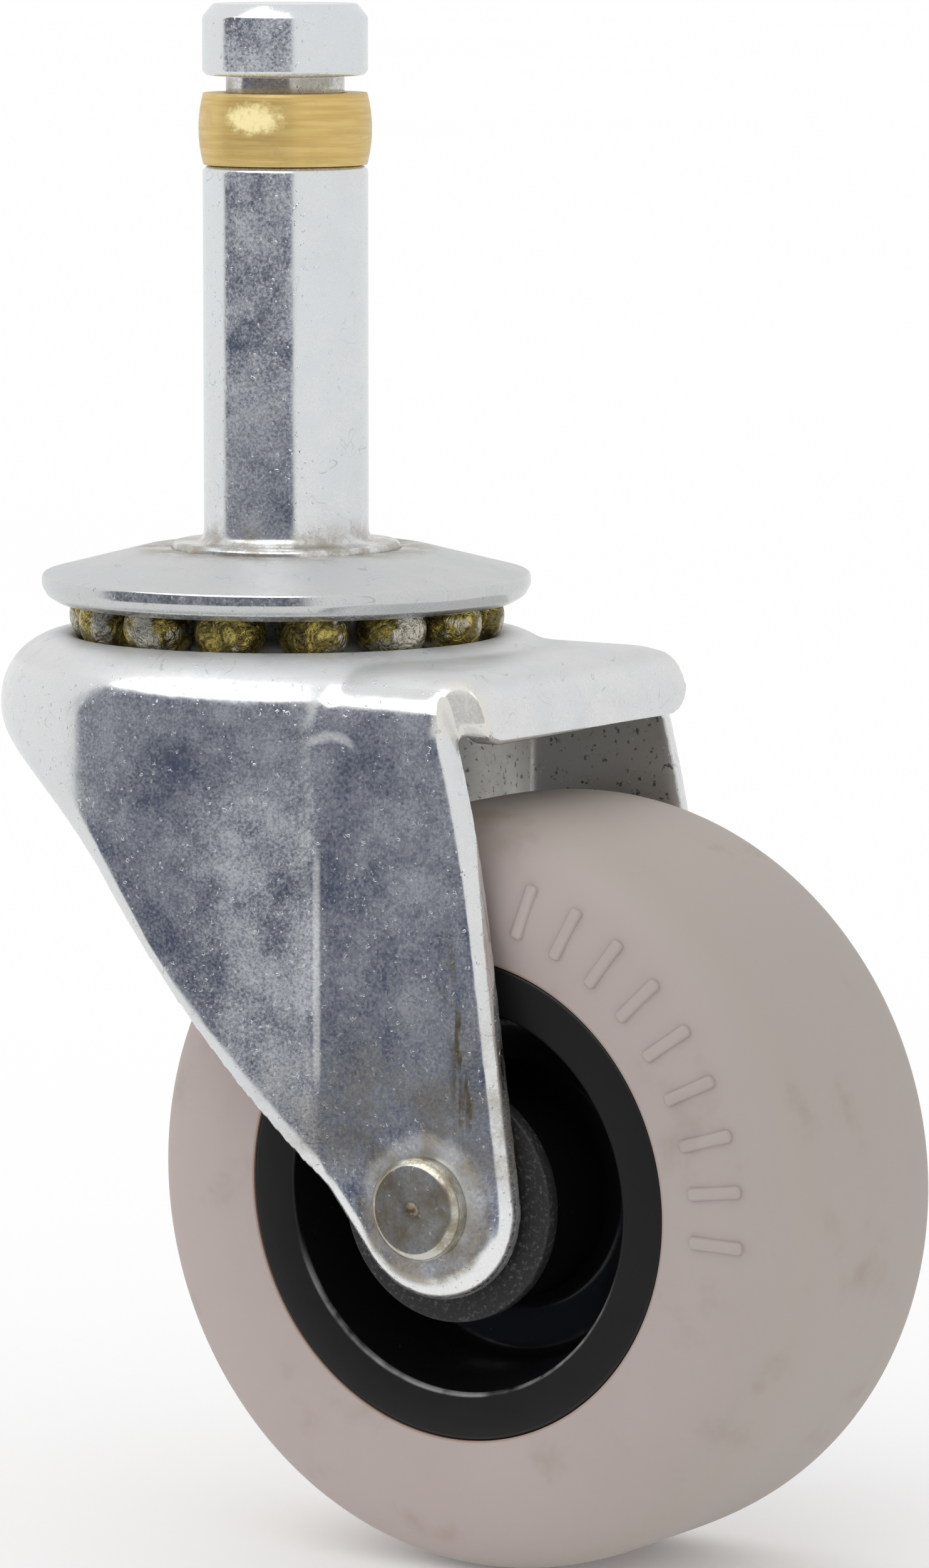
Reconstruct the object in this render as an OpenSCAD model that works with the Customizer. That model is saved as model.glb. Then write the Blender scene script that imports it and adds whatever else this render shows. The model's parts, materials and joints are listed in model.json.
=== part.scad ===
// Grip-ring stem caster: a 2 inch wheel in a pressed steel yoke that swivels on two rows of balls.
// The seat plane of the stem is z = 0, the stem points up, and the wheel trails towards +X.

/* [Stem] */
// Radius of the shank (7/16 inch stem)
stem_r = 5.556; // [5.45:0.001:5.65]
// Height of the stem above the seat
stem_h = 36.5; // [35:0.1:40]
// Radius of the neck under the cap
neck_r = 3.98; // [3.7:0.01:4.1]
// Height of the neck's lower end
neck_z = 25.7; // [22:0.1:27]
// Length of the neck
neck_h = 6; // [5.6:0.1:6.5]
// Radius of the collar at the foot of the shank
collar_r = 7.7; // [7:0.1:8.4]
// Height of the collar
collar_h = 0.45; // [0.3:0.05:0.8]
// Radius of the core that passes through the bearing
core_r = 4.6; // [4.2:0.05:4.8]

/* [Grip ring] */
// Outer radius at the middle of the ring
ring_r = 5.82; // [5.7:0.01:5.82]
// Outer radius at the ends of the ring
ring_end_r = 5.5; // [5.3:0.01:5.6]
// Inner radius of the ring
ring_bore_r = 4.15; // [4.12:0.01:4.3]
// Height of the ring
ring_h = 4.8; // [4:0.1:5]
// Width of the split
ring_split = 0.8; // [0.4:0.1:1.5]
// Direction of the split about the stem, in degrees
ring_split_angle = 123; // [0:1:359]

/* [Upper race] */
// Radius of the flat seat on top
seat_r = 9.8; // [9:0.1:11]
// Outer radius of the rim
rim_r = 16.5; // [16:0.1:17.5]
// Depth of the rim's upper edge below the seat
rim_top = 1.65; // [1.5:0.05:2]
// Depth where the rim starts to turn in
rim_middle = 2.45; // [2.3:0.05:2.7]
// Depth of the rim's lower edge below the seat
rim_bottom = 3.1; // [2.9:0.05:3.3]
// Depth of the skirt's lip below the seat
lip_depth = 3.55; // [3.4:0.05:3.7]

/* [Balls] */
// Radius of an upper ball (3/16 inch ball)
ball_r = 2.381; // [2.3:0.001:2.4]
// Pitch radius of the upper row
ball_pitch_r = 12.35; // [12.3:0.05:12.4]
// Depth of the upper row's centres below the seat
ball_depth = 4.55; // [4.5:0.01:4.6]
// Number of upper balls
ball_count = 14; // [10:1:15]
// Direction of the first upper ball, in degrees
ball_start_angle = -47.1; // [-90:0.1:90]
// Radius of a lower ball (1/8 inch ball)
low_ball_r = 1.587; // [1.5:0.001:1.6]
// Pitch radius of the lower row
low_pitch_r = 7.6; // [7.6:0.05:7.7]
// Depth of the lower row's centres below the seat
low_ball_depth = 9.2; // [9.15:0.01:9.25]
// Number of lower balls
low_ball_count = 14; // [10:1:14]
// Gap between a ball and its groove
ball_gap = 0.03; // [0.02:0.01:0.05]

/* [Yoke] */
// Thickness of the sheet
sheet = 2.3; // [2:0.1:2.5]
// Outer radius of the drawn cup
cup_r = 19.3; // [19.2:0.1:20]
// Outer radius of the bend between the crown and the cup
cup_bend = 4.5; // [4:0.1:5]
// Depth of the crown below the seat
crown_depth = 5.6; // [5.5:0.05:5.7]
// Radius of the hole for the stem's core
crown_hole_r = 5.4; // [5.2:0.05:5.6]
// Half of the width across the flat cheeks
cheek_y = 14.5; // [14.3:0.1:15]
// Outer radius of the bend over the cheeks
cheek_bend = 4.5; // [4:0.1:5]
// Depth of the flat hood plate below the seat
hood_depth = 6.3; // [6.2:0.05:6.5]
// Outer face of the hood's lip
hood_x = 24.3; // [24:0.1:25]
// Depth of the lip's lower edge below the seat
hood_lip_depth = 10.9; // [10.5:0.1:11.2]
// Outer radius of the bend between the hood plate and the lip
hood_bend = 3.5; // [3:0.1:4]
// Half of the hood's width
hood_lip_y = 12.5; // [12:0.1:13]
// Depth of the cup's front edge below the seat
front_depth = 12.3; // [11.8:0.1:13]
// Radius of the arc between the front edge and the slanting leg edge
front_arc = 21.7; // [18:0.1:23]
// Slope of the leg's front edge, in degrees
leg_slope = 53.3; // [52:0.1:55]
// Radius of the leg's round end
leg_end_r = 6.3; // [6:0.1:6.6]
// Radius of the curve at the top of the leg's rear edge
rear_arc = 90; // [80:1:100]
// Lean of the leg's straight rear edge, in degrees
rear_lean = 7.6; // [7:0.1:8]
// Depth where the rear edge starts to curve
rear_arc_depth = 23; // [21:0.5:25]

/* [Axle] */
// Trail from the stem's axis to the axle (13/16 inch)
axle_x = 20.7; // [20.4:0.1:21]
// Depth of the axle below the seat
axle_depth = 41; // [40.8:0.1:41.4]
// Radius of the bearing length
axle_r = 3.97; // [3.9:0.01:4]
// Radius of the ends through the legs
axle_end_r = 2.6; // [2.4:0.1:2.8]
// Radius of the riveted heads
axle_head_r = 3.4; // [3.2:0.1:3.8]
// Height of the riveted heads
axle_head_h = 1.4; // [1:0.1:1.6]

/* [Wheel] */
// Outer radius of the tyre (2 inch wheel)
tyre_r = 25.4; // [25:0.1:25.4]
// Half of the tyre's width
tyre_y = 11.2; // [10.8:0.1:11.3]
// Radius where the tyre's side face ends and its curve starts
tyre_flat_r = 18.36; // [18:0.02:19]
// Exponent that sets how late the tread turns into the side
tyre_crown_exp = 5.45; // [4:0.05:7]
// Exponent that sets how round the shoulder is
tyre_shoulder_exp = 2.16; // [2:0.02:2.4]
// Outer radius of the hub
hub_r = 16; // [15.8:0.1:16.2]
// Half of the hub's width at its rim
hub_y = 10.8; // [10.5:0.1:10.9]
// Radius of the dish's mouth
dish_r = 12.9; // [12.6:0.1:13.2]
// Radius of the dish's floor edge
dish_floor_r = 11.6; // [11.4:0.1:12]
// Half of the web's thickness
web_y = 3; // [2.5:0.1:3.5]
// Radius of the hub's boss
boss_r = 7.4; // [7.2:0.1:7.6]
// Radius of a bushing's flange
flange_r = 8; // [7.8:0.1:8.2]
// Outer face of a bushing's flange
flange_y = 11.8; // [11.6:0.05:11.9]
// Thickness of a bushing's flange
flange_t = 1.2; // [1:0.1:1.2]
// Radius of a bushing's barrel
barrel_r = 6; // [5.8:0.1:6.2]
// Radial clearance of a bushing on the axle
bushing_gap = 0.06; // [0.03:0.01:0.09]

/* [Hidden] */
$fn = 96;
cut = 60;                      // larger than the part in any direction, for cutting shapes
edge = 0.35;                   // chamfer on turned edges
foot_fillet = 0.8;             // fillet at the foot of the shank
collar_seat = 0.6;             // how deep the collar is let into the race plate
cap_chamfer_h = 0.9;           // chamfer on top of the cap
cap_chamfer_r = 0.73;
ring_float = 0.05;             // gap under the grip ring at rest
race_wall = 1.7;               // thickness of the upper race around the core
groove_lip_r = 9.9;            // where the upper race's groove starts
groove_lip_depth = 3;
skirt_r = 15.4;                // outer radius of the skirt's lip
groove_wall = 1.9;             // metal under the crown's ball groove
low_race_r = 9.6;
low_race_bottom = 12.2;        // depth of the lower race's underside
low_race_top = 9.5;            // depth of the lower race's shoulders
washer_r = 7.4;
washer_t = 0.9;
peen_r = 6.3;
peen_h = 1.5;
hub_rib_r = 17.6;              // rib that locks the tyre on the hub
hub_rib_y = 2;
hub_core_r = 4.8;              // clearance around the axle between the bushings
head_bevel = 0.45;             // bevel on the riveted heads
head_dimple = 0.2;             // dimple in the riveted heads
lip_corner = 2;                // rounding of the lip's lower corners
tyre_steps = 24;               // points along each half of the tyre's curve

washer_bottom = low_race_bottom + washer_t;
crown_r = cup_r - cup_bend;
flat_start_x = sqrt(pow(cup_r - sheet, 2) - pow(cheek_y - sheet, 2));

FIXED_NODES = ["stem", "grip_ring", "upper_race", "lower_race", "retaining_washer",
               "yoke", "axle", "tyre", "hub", "bushing_left", "bushing_right"];

// ---- Stem and what is fixed to it ----

// Turned post: cap, neck, shank, collar and the core that is peened over below the washer
module stem() {
    cap_z = neck_z + neck_h;
    color("silver")
    rotate_extrude()
    difference() {
        polygon([[0, -washer_bottom - peen_h],
                 [peen_r - 2, -washer_bottom - peen_h],
                 [peen_r - edge, -washer_bottom - peen_h / 2],
                 [peen_r, -washer_bottom - edge],
                 [peen_r, -washer_bottom],
                 [core_r, -washer_bottom],
                 [core_r, -collar_seat],
                 [collar_r, -collar_seat],
                 [collar_r, collar_h / 2],
                 [collar_r - collar_h / 2, collar_h],
                 [stem_r + foot_fillet, collar_h],
                 [stem_r + foot_fillet, collar_h + foot_fillet],
                 [stem_r, collar_h + foot_fillet],
                 [stem_r, neck_z - edge],
                 [stem_r - edge, neck_z],
                 [neck_r, neck_z],
                 [neck_r, cap_z],
                 [stem_r - edge, cap_z],
                 [stem_r, cap_z + edge],
                 [stem_r, stem_h - cap_chamfer_h],
                 [stem_r - cap_chamfer_r, stem_h],
                 [0, stem_h]]);
        translate([stem_r + foot_fillet, collar_h + foot_fillet]) circle(foot_fillet);
    }
}

// Split spring ring with a barrel-shaped outside, loose on the neck
module grip_ring() {
    bulge = ring_r - ring_end_r;
    barrel = (pow(ring_h / 2, 2) + bulge * bulge) / (2 * bulge);
    color("gold")
    translate([0, 0, neck_z + ring_float])
    difference() {
        rotate_extrude()
        intersection() {
            translate([ring_bore_r, 0]) square([ring_r, ring_h]);
            translate([ring_r - barrel, ring_h / 2]) circle(barrel);
        }
        rotate(ring_split_angle)
        translate([0, -ring_split / 2, -1]) cube([cut, ring_split, ring_h + 2]);
    }
}

// Pressed plate under the stem: flat seat, cone, rim and the groove for the upper balls
module upper_race() {
    color("gainsboro")
    rotate_extrude()
    difference() {
        polygon([[core_r, -collar_seat],
                 [collar_r, -collar_seat],
                 [collar_r, 0],
                 [seat_r, 0],
                 [rim_r - edge / 2, -rim_top],
                 [rim_r, -rim_top - edge / 2],
                 [rim_r, -rim_middle],
                 [rim_r - edge, -rim_bottom],
                 [skirt_r, -lip_depth],
                 [ball_pitch_r, -lip_depth],
                 [groove_lip_r, -groove_lip_depth],
                 [groove_lip_r - edge, -race_wall],
                 [core_r, -race_wall]]);
        translate([ball_pitch_r, -ball_depth]) circle(ball_r + ball_gap);
    }
}

// Turned ring under the crown with the groove for the lower balls
module lower_race() {
    color("darkgray")
    rotate_extrude()
    difference() {
        polygon([[core_r, -low_race_bottom],
                 [low_race_r - edge, -low_race_bottom],
                 [low_race_r, -low_race_bottom + edge],
                 [low_race_r, -low_race_top],
                 [core_r, -low_race_top]]);
        translate([low_pitch_r, -low_ball_depth]) circle(low_ball_r + ball_gap);
    }
}

// Flat washer between the lower race and the peened end
module retaining_washer() {
    color("darkgray")
    translate([0, 0, -washer_bottom])
    difference() {
        cylinder(r = washer_r, h = washer_t);
        translate([0, 0, -1]) cylinder(r = core_r, h = washer_t + 2);
    }
}

// ---- Balls ----

// One ball of a row, i steps round the stem's axis
module ball(i, count, start, pitch_r, depth, r) {
    color("dimgray")
    rotate(start + (i - 1) * 360 / count)
    translate([pitch_r, 0, -depth]) sphere(r);
}

// ---- Yoke ----

// Section of the drawn cup: crown, bend and wall
module cup_section() {
    difference() {
        union() {
            translate([crown_hole_r, -crown_depth - sheet]) square([crown_r - crown_hole_r, sheet]);
            intersection() {
                translate([crown_r, -crown_depth - cup_bend]) circle(cup_bend);
                translate([crown_r, -crown_depth - cup_bend]) square(cup_bend);
            }
            translate([cup_r - sheet, -cut]) square([sheet, cut - crown_depth - cup_bend]);
            intersection() {
                translate([ball_pitch_r, -ball_depth]) circle(ball_r + groove_wall);
                translate([0, -crown_depth - cup_bend]) square([crown_r, cup_bend]);
            }
        }
        translate([crown_r, -crown_depth - cup_bend]) circle(cup_bend - sheet);
    }
}

// The cup, cut open behind between the cheeks so that only its crown runs all the way round
module cup() {
    difference() {
        rotate_extrude() cup_section();
        difference() {
            translate([flat_start_x, -cheek_y + sheet, -cut])
                cube([cut, 2 * (cheek_y - sheet), cut - hood_depth - sheet]);
            cylinder(r = crown_r, h = 2 * cut, center = true);
        }
    }
}

// Section across the flat cheeks and the plate over them, with w as half of its width
module arch(w, top, r) {
    translate([-w, -cut]) square([2 * w, cut - top - r]);
    translate([r - w, -cut]) square([2 * (w - r), cut - top]);
    for (side = [-1, 1])
        translate([side * (w - r), -top - r]) circle(r);
}

module channel() {
    translate([flat_start_x, 0, 0])
    rotate([90, 0, 90])
    linear_extrude(cut)
    difference() {
        arch(cheek_y, hood_depth, cheek_bend);
        arch(cheek_y - sheet, hood_depth + sheet, cheek_bend - sheet);
    }
}

// Side view of the yoke: front edge, slanting leg, round end and curved rear edge
module side_outline() {
    n = [-sin(leg_slope), -cos(leg_slope)];
    d = [-cos(leg_slope), sin(leg_slope)];
    axle = [axle_x, -axle_depth];
    tangent = axle + leg_end_r * n;
    corner = tangent + d * ((-front_depth - tangent[1]) / d[1]);
    reach = front_arc * tan(leg_slope / 2);
    arc_centre = [corner[0] - reach, -front_depth - front_arc];
    rear_tangent = axle + leg_end_r * [cos(rear_lean), sin(rear_lean)];
    rear_start = rear_tangent
        + [-tan(rear_lean), 1] * (-rear_arc_depth - rear_tangent[1]);
    rear_centre = rear_start - rear_arc * [cos(rear_lean), sin(rear_lean)];
    difference() {
        union() {
            translate(axle) circle(leg_end_r);
            polygon([axle, tangent, corner - reach * d, corner + [0, 1], rear_start, rear_tangent]);
            polygon([corner - reach * d, [arc_centre[0], -front_depth], [-cut, -front_depth],
                     [-cut, 0], [0, 0], corner + [0, 1]]);
            intersection() {
                polygon([corner + [0, 1], [0, 0], [cut, 0], [cut, rear_start[1]], rear_start]);
                translate(rear_centre) circle(rear_arc, $fn = 360);
            }
        }
        translate(arc_centre) circle(front_arc);
    }
}

// Plate behind the crown that bends down to a lip between the two legs
module hood() {
    lip_top = -hood_depth - hood_bend;
    intersection() {
        rotate([90, 0, 0])
        linear_extrude(cut, center = true)
        difference() {
            union() {
                translate([crown_r, -hood_depth - sheet])
                    square([hood_x - hood_bend - crown_r, sheet]);
                intersection() {
                    translate([hood_x - hood_bend, lip_top]) circle(hood_bend);
                    translate([hood_x - hood_bend, lip_top]) square(hood_bend);
                }
                translate([hood_x - sheet, -hood_lip_depth]) square([sheet, lip_top + hood_lip_depth]);
            }
            translate([hood_x - hood_bend, lip_top]) circle(hood_bend - sheet);
        }
        translate([flat_start_x, 0, 0])
        rotate([90, 0, 90])
        linear_extrude(cut)
        intersection() {
            arch(cheek_y, hood_depth, cheek_bend);
            union() {
                translate([-hood_lip_y, lip_corner - hood_lip_depth]) square([2 * hood_lip_y, cut]);
                translate([lip_corner - hood_lip_y, -hood_lip_depth])
                    square([2 * (hood_lip_y - lip_corner), cut]);
                for (side = [-1, 1])
                    translate([side * (hood_lip_y - lip_corner), lip_corner - hood_lip_depth])
                        circle(lip_corner);
            }
        }
    }
}

// One pressed sheet: crown and cup in front, two flat cheeks with the axle holes, and the hood
module yoke() {
    color("lightsteelblue")
    difference() {
        union() {
            intersection() {
                union() {
                    cup();
                    channel();
                }
                rotate([90, 0, 0]) linear_extrude(cut, center = true) side_outline();
            }
            hood();
        }
        translate([axle_x, 0, -axle_depth])
        rotate([90, 0, 0]) cylinder(r = axle_end_r, h = cut, center = true);
        rotate_extrude() {
            translate([ball_pitch_r, -ball_depth]) circle(ball_r + ball_gap);
            translate([low_pitch_r, -low_ball_depth]) circle(low_ball_r + ball_gap);
        }
    }
}

// Shouldered rivet: bearing length between the legs, reduced ends and a head on each side
module axle() {
    leg_inner = cheek_y - sheet;
    face = cheek_y + axle_head_h;
    half = [[axle_r, leg_inner], [axle_end_r, leg_inner], [axle_end_r, cheek_y],
            [axle_head_r, cheek_y], [axle_head_r, face - head_bevel],
            [axle_head_r - head_bevel, face], [2 * head_dimple, face], [0, face - head_dimple]];
    other = [for (i = [len(half) - 1:-1:0]) [half[i][0], -half[i][1]]];
    color("silver")
    translate([axle_x, 0, -axle_depth])
    rotate([90, 0, 0])
    rotate_extrude() polygon(concat(half, other));
}

// ---- Wheel ----

// Radius of the tyre's outside at a share s of its half width
function tyre_curve(s) = tyre_flat_r + (tyre_r - tyre_flat_r)
    * pow(1 - pow(s, tyre_crown_exp), 1 / tyre_shoulder_exp);

// Solid grey tread moulded on the hub's rim
module tyre() {
    steps = [for (i = [-tyre_steps:tyre_steps]) sin(90 * i / tyre_steps)];
    color("rosybrown")
    translate([axle_x, 0, -axle_depth])
    rotate([90, 0, 0])
    rotate_extrude()
    difference() {
        polygon(concat([[hub_r, -hub_y]],
                       [for (s = steps) [tyre_curve(abs(s)), s * tyre_y]],
                       [[hub_r, hub_y]]));
        translate([0, -hub_rib_y]) square([hub_rib_r, 2 * hub_rib_y]);
    }
}

// Moulded core: rim with a locking rib, deep dish on each side, web and boss
module hub() {
    dish = [[dish_r, hub_y], [dish_floor_r, web_y + edge], [dish_floor_r - edge, web_y],
            [boss_r + edge, web_y], [boss_r, web_y + edge], [boss_r, flange_y - flange_t],
            [barrel_r, flange_y - flange_t], [barrel_r, web_y], [hub_core_r, web_y]];
    back = [for (i = [len(dish) - 1:-1:0]) [dish[i][0], -dish[i][1]]];
    color("dimgray")
    translate([axle_x, 0, -axle_depth])
    rotate([90, 0, 0])
    rotate_extrude()
    polygon(concat([[hub_r, hub_rib_y], [hub_r, hub_y]], dish, back,
                   [[hub_r, -hub_y], [hub_r, -hub_rib_y],
                    [hub_rib_r, -hub_rib_y], [hub_rib_r, hub_rib_y]]));
}

// Flanged bushing pressed into one end of the hub, side is -1 for the left and 1 for the right
module bushing(side) {
    color("slategray")
    translate([axle_x, side * web_y, -axle_depth])
    rotate([-90 * side, 0, 0])
    difference() {
        union() {
            cylinder(r = barrel_r, h = flange_y - web_y);
            translate([0, 0, flange_y - flange_t - web_y]) cylinder(r = flange_r, h = flange_t);
        }
        translate([0, 0, -1]) cylinder(r = axle_r + bushing_gap, h = cut);
    }
}

stem();
grip_ring();
upper_race();
lower_race();
retaining_washer();
yoke();
axle();
tyre();
hub();
bushing(-1);  // bushing_left
bushing(1);  // bushing_right
for (i = [1:ball_count])
    ball(i, ball_count, ball_start_angle, ball_pitch_r, ball_depth, ball_r);
for (i = [1:low_ball_count])
    ball(i, low_ball_count, 0, low_pitch_r, low_ball_depth, low_ball_r);
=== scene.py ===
import bpy
import json
from math import asin, cos, pi, radians, sin, sqrt, tan
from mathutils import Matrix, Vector


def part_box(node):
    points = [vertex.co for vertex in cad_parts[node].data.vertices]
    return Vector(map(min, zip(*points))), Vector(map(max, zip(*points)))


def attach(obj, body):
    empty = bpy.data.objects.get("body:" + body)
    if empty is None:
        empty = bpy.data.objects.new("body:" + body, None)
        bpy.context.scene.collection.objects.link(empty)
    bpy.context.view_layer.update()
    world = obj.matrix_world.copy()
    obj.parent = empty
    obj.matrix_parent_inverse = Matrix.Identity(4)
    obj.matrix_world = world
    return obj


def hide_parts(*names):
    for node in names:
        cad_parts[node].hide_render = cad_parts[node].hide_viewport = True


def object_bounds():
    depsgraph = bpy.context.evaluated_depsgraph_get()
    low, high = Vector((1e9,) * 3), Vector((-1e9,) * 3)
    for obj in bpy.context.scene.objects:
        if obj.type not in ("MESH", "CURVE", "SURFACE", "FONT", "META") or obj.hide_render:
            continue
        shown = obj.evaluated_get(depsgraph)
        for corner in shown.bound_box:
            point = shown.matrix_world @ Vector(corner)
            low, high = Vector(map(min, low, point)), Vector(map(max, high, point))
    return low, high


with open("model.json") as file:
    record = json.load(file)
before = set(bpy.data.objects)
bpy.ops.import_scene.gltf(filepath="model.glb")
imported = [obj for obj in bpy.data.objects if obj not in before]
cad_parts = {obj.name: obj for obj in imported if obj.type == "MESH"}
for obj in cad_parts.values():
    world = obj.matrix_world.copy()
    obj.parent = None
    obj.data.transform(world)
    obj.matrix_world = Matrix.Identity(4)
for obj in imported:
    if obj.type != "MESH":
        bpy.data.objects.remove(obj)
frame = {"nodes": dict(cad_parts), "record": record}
cad_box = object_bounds()
mm = 0.001

# ---- Studio: camera, light and floor ----
# A long lens looks a little down on the caster. A white tent surrounds it, with a dark blue-grey
# gap on the camera's left that the plating mirrors, and one strip lamp high in front.

camera_azimuth, camera_elevation = radians(33.37), radians(7.01)
camera_distance = 508.8 * mm
aim = Vector((10.03, 6.61, -16.12)) * mm
long_side, focal_length = 2504, 11997
sensor = 36

bpy.ops.object.select_all(action="DESELECT")
look_back = Vector((sin(camera_azimuth) * cos(camera_elevation),
                    -cos(camera_azimuth) * cos(camera_elevation),
                    sin(camera_elevation)))
bpy.ops.object.camera_add(location=aim + look_back * camera_distance,
                          rotation=(pi / 2 - camera_elevation, 0, camera_azimuth))
camera = bpy.context.object
camera.data.sensor_width = sensor
camera.data.lens = focal_length / long_side * sensor
camera.data.clip_start, camera.data.clip_end = 0.01, 100
bpy.context.scene.camera = camera
bpy.context.scene.view_settings.view_transform = "Standard"


class Field:
    """A socket in a node tree that takes part in sums, products and the like."""

    def __init__(self, tree, socket):
        self.tree, self.socket = tree, socket

    def maths(self, operation, first, second=0.0):
        made = self.tree.nodes.new("ShaderNodeMath")
        made.operation = operation
        for socket, value in zip(made.inputs, (first, second)):
            plug(self.tree, socket, value)
        return Field(self.tree, made.outputs[0])

    def __add__(self, other): return self.maths("ADD", self, other)
    def __radd__(self, other): return self.maths("ADD", other, self)
    def __sub__(self, other): return self.maths("SUBTRACT", self, other)
    def __rsub__(self, other): return self.maths("SUBTRACT", other, self)
    def __mul__(self, other): return self.maths("MULTIPLY", self, other)
    def __rmul__(self, other): return self.maths("MULTIPLY", other, self)
    def __truediv__(self, other): return self.maths("DIVIDE", self, other)
    def __pow__(self, other): return self.maths("POWER", self, other)
    def __abs__(self): return self.maths("ABSOLUTE", self)
    def larger(self, other): return self.maths("MAXIMUM", self, other)


def plug(tree, socket, value):
    if isinstance(value, Field):
        tree.links.new(value.socket, socket)
    else:
        socket.default_value = value


class Nodes:
    """A node tree being wired: node() adds any node, and the rest are the blends used most."""

    def __init__(self, tree):
        self.tree = tree
        tree.nodes.clear()

    def node(self, kind, settings=None, inputs=None, out=0):
        made = self.tree.nodes.new("ShaderNode" + kind)
        for key, value in (settings or {}).items():
            setattr(made, key, value)
        for key, value in (inputs or {}).items():
            plug(self.tree, made.inputs[key], value)
        return Field(self.tree, made.outputs[out]) if len(made.outputs) else None

    def ramp(self, value, low, high):
        """0 below low, 1 above high and smooth between."""
        return self.node("MapRange", {"interpolation_type": "SMOOTHSTEP"},
                         {"Value": value, "From Min": low, "From Max": high})

    def blend(self, share, first, second):
        """A colour between two colours."""
        return self.node("Mix", {"data_type": "RGBA"}, {0: share, 6: first, 7: second}, out=2)


class Finish(Nodes):
    """A material: its tree, one Principled shader and patterns in the piece's own millimetres."""

    def __init__(self, name, **constants):
        self.material = bpy.data.materials.new(name)
        self.material.use_nodes = True
        super().__init__(self.material.node_tree)
        self.shader = self.tree.nodes.new("ShaderNodeBsdfPrincipled")
        output = self.tree.nodes.new("ShaderNodeOutputMaterial")
        self.tree.links.new(self.shader.outputs[0], output.inputs[0])
        for key, value in constants.items():
            self.shader.inputs[key.replace("_", " ")].default_value = value
        self.place = self.node("TexCoord", out=3)
        self.x, self.y, self.z = (self.node("SeparateXYZ", {}, {0: self.place}, out=axis) / mm
                                  for axis in range(3))

    def grain(self, size, detail=2.0, stretch=(1, 1, 1), roughness=0.5, distortion=0.0, shift=0.0):
        """Noise with features of about size, in metres."""
        at = self.node("Mapping", {}, {"Vector": self.place, "Scale": stretch,
                                       "Location": (shift, shift, shift)})
        return self.node("TexNoise", {}, {"Vector": at, "Scale": 1 / size, "Detail": detail,
                                          "Roughness": roughness, "Distortion": distortion})

    def from_line(self, x, z):
        """Distance in millimetres from a line along Y, which is given in metres."""
        return ((self.x - x / mm) ** 2 + (self.z - z / mm) ** 2) ** 0.5

    def from_post(self):
        """Distance in millimetres from the stem's own line."""
        return (self.x ** 2 + self.y ** 2) ** 0.5

    def bump(self, height, depth, base=None):
        inputs = {"Height": height, "Distance": depth, "Strength": 1.0}
        if base is not None:
            inputs["Normal"] = base
        return self.node("Bump", {}, inputs)

    def feed(self, **fields):
        for key, value in fields.items():
            plug(self.tree, self.shader.inputs[key.replace("_", " ")], value)
        return self.material


world = bpy.data.worlds.new("tent")
bpy.context.scene.world = world
world.use_nodes = True
tent = Nodes(world.node_tree)
direction = tent.node("TexCoord", out=0)
tent_white = (0.88, 0.885, 0.88, 1)
gap_colour = (0.068, 0.083, 0.13, 1)
lamp_white = (3.0, 3.0, 3.0, 1)
soft_white, soft_grey = (1.03, 1.03, 1.03, 1), (0.74, 0.735, 0.73, 1)
gap_azimuth, gap_half, side_softness = camera_azimuth - radians(41), radians(52), radians(3)
east = tent.node("VectorMath", {"operation": "DOT_PRODUCT"},
                 {0: direction, 1: (sin(gap_azimuth), -cos(gap_azimuth), 0)}, out=1)
height = tent.node("SeparateXYZ", {}, {0: direction}, out=2)
level = (1 - height * height) ** 0.5
turned_away = east / level
beside = tent.ramp(turned_away, cos(gap_half + side_softness), cos(gap_half - side_softness))
gap_foot, gap_head = (radians(-31), radians(-24)), (radians(35), radians(40))
lamp_foot, lamp_head = (radians(39), radians(42)), (radians(72), radians(77))


def between_heights(foot, head):
    """1 between two soft edges, each given as the heights where it starts and ends."""
    return (tent.ramp(height, sin(foot[0]), sin(foot[1]))
            * (1 - tent.ramp(height, sin(head[0]), sin(head[1]))))


gap = beside * between_heights(gap_foot, gap_head)
strip = beside * between_heights(lamp_foot, lamp_head)
mirrored = tent.blend(gap, tent_white, gap_colour)
mirrored = tent.blend(strip, mirrored, lamp_white)
to_right = tent.node("VectorMath", {"operation": "DOT_PRODUCT"},
                     {0: direction, 1: (cos(camera_azimuth), sin(camera_azimuth), 0)}, out=1)
is_camera, is_mirror = tent.node("LightPath", out=0), tent.node("LightPath", out=3)
seen = tent.blend(tent.ramp(to_right, -0.4, 1), soft_white, soft_grey)
seen = tent.blend(is_mirror, seen, mirrored)
seen = tent.blend(is_camera, seen, (1, 1, 1, 1))
tent.node("OutputWorld", {}, {"Surface": tent.node("Background", {}, {"Color": seen})})

lowest, floor_radius = cad_box[0].z, 30
bpy.ops.object.select_all(action="DESELECT")
bpy.ops.mesh.primitive_circle_add(vertices=96, radius=floor_radius, fill_type="NGON",
                                  location=(0, 0, lowest))
floor = bpy.context.object
floor.name = "floor"
floor.visible_glossy = False
floor_finish = Finish("floor_paper", Roughness=1.0, Specular_IOR_Level=0.0,
                      Emission_Color=(1, 1, 1, 1), Emission_Strength=0.07)
floor.data.materials.append(floor_finish.feed(
    Base_Color=floor_finish.blend(floor_finish.grain(0.4), (0.98, 0.98, 0.98, 1), (1, 1, 1, 1))))

# ---- Stem ----
# The post is turned from steel bar and zinc plated: a capped neck for the grip ring, a plain shank,
# and a low collar where it meets the race plate. Its core runs down through the bearing and is
# peened over at the bottom.

stem_low, stem_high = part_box("stem")


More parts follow.
